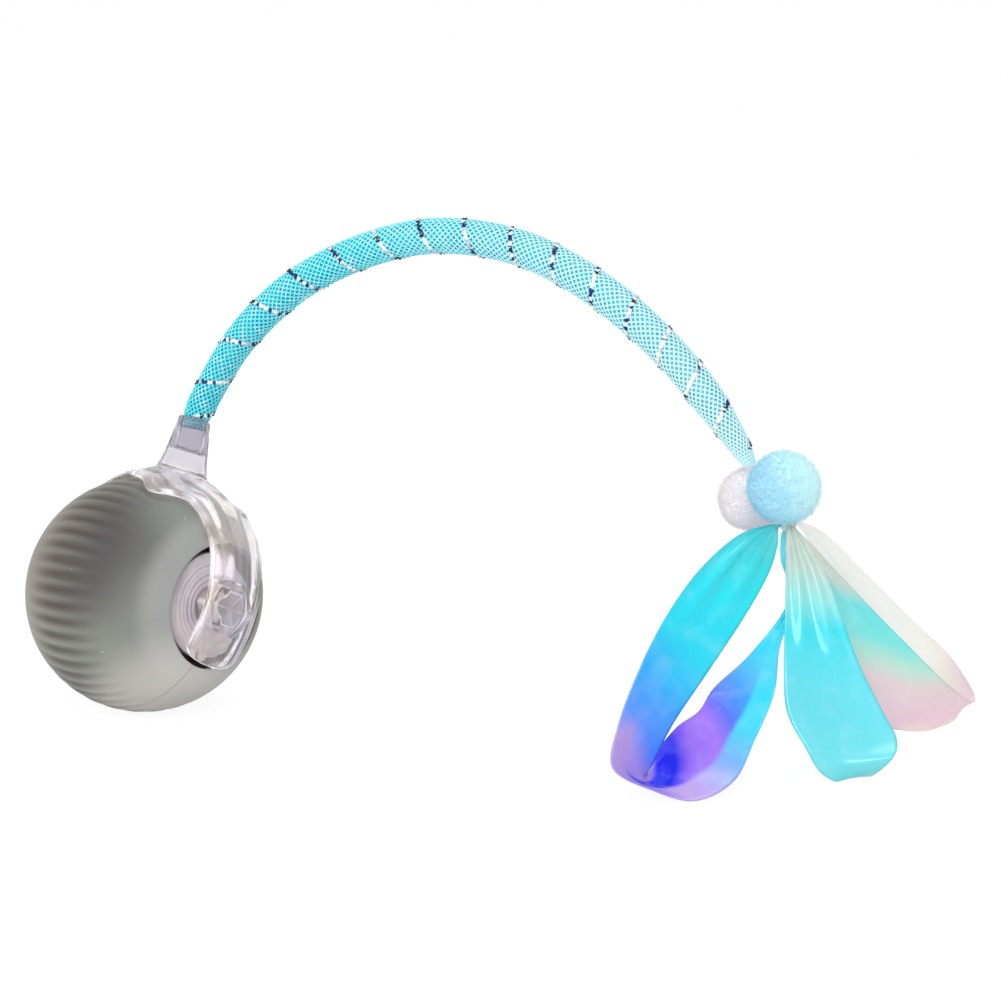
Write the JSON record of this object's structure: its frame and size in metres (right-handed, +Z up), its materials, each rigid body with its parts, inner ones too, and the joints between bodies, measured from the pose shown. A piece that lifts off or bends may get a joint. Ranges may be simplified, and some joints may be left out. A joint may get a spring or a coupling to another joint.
{
  "type": "self-rolling cat ball",
  "caption": "Self-rolling ball in a ribbed sleeve, with a clear clip-on yoke, an arched mesh tail, pompoms and shiny ribbon loops.",
  "frame": {"origin": "on the floor, under the middle of the whole object's box", "axes": "+X along the ball's axle towards the tail's far end, +Z up"},
  "size_m": [0.1532, 0.105, 0.0896],
  "materials": {
    "silicone": "matte sage silicone",
    "dark_plastic": "satin",
    "clear_plastic": "clear, polished",
    "clear_rubber": "clear, glossy, faintly lilac",
    "white_nylon": "satin",
    "steel": "plain",
    "board_green": "solder mask",
    "battery_foil": "foil pouch",
    "black_plastic": "satin",
    "led_resin": "clear red",
    "mesh_blue": "tubular net with tinsel",
    "blue_fibre": "fluffy",
    "white_fibre": "fluffy",
    "white_thread": "knotted thread",
    "film_blue": "iridescent film, blue to lilac",
    "film_aqua": "iridescent film, aqua",
    "film_pearl": "iridescent film, pearl to peach"
  },
  "bodies": {
    "carrier": {"hub_right": "clear_plastic", "hub_left": "clear_plastic", "hub_screw_right_1": "steel", "hub_screw_right_2": "steel", "hub_screw_left_1": "steel", "hub_screw_left_2": "steel", "chassis": "white_nylon", "ballast_front": "steel", "ballast_back": "steel", "motor_can": "steel", "motor_cap": "white_nylon", "battery": "battery_foil", "circuit_board": "board_green", "control_chip": "black_plastic", "charging_socket": "steel", "led_1": "led_resin", "led_2": "led_resin", "switch_body": "steel", "yoke": "clear_rubber", "tail_tube": "mesh_blue", "pompom_blue": "blue_fibre", "pompom_white": "white_fibre", "ribbon_knot": "white_thread", "ribbon_left": "film_blue", "ribbon_middle": "film_aqua", "ribbon_right": "film_pearl"},
    "shell": {"silicone_skin": "silicone", "shell_right": "dark_plastic", "shell_left": "dark_plastic", "bush_right": "white_nylon", "bush_left": "white_nylon", "ring_gear": "white_nylon"},
    "pinion": {"drive_pinion": "white_nylon", "motor_shaft": "steel"},
    "knob": {"switch_knob": "black_plastic"}
  },
  "joints": [
    {"name": "shell_spin", "type": "hinge", "parent": "carrier", "child": "shell", "pos_m": [-0.0534, -0.031, 0.0215], "axis": [1, 0, 0], "continuous": true},
    {"name": "pinion_spin", "type": "hinge", "parent": "carrier", "child": "pinion", "pos_m": [-0.06033, -0.031, 0.01233], "axis": [1, 0, 0], "continuous": true},
    {"name": "switch_slide", "type": "slide", "parent": "carrier", "child": "knob", "axis": [1, 0, 0], "range_m": [0, 0.0015]}
  ],
  "couplings": [
    {"joint": "pinion_spin", "follows": "shell_spin", "ratio": 3.1667}
  ]
}
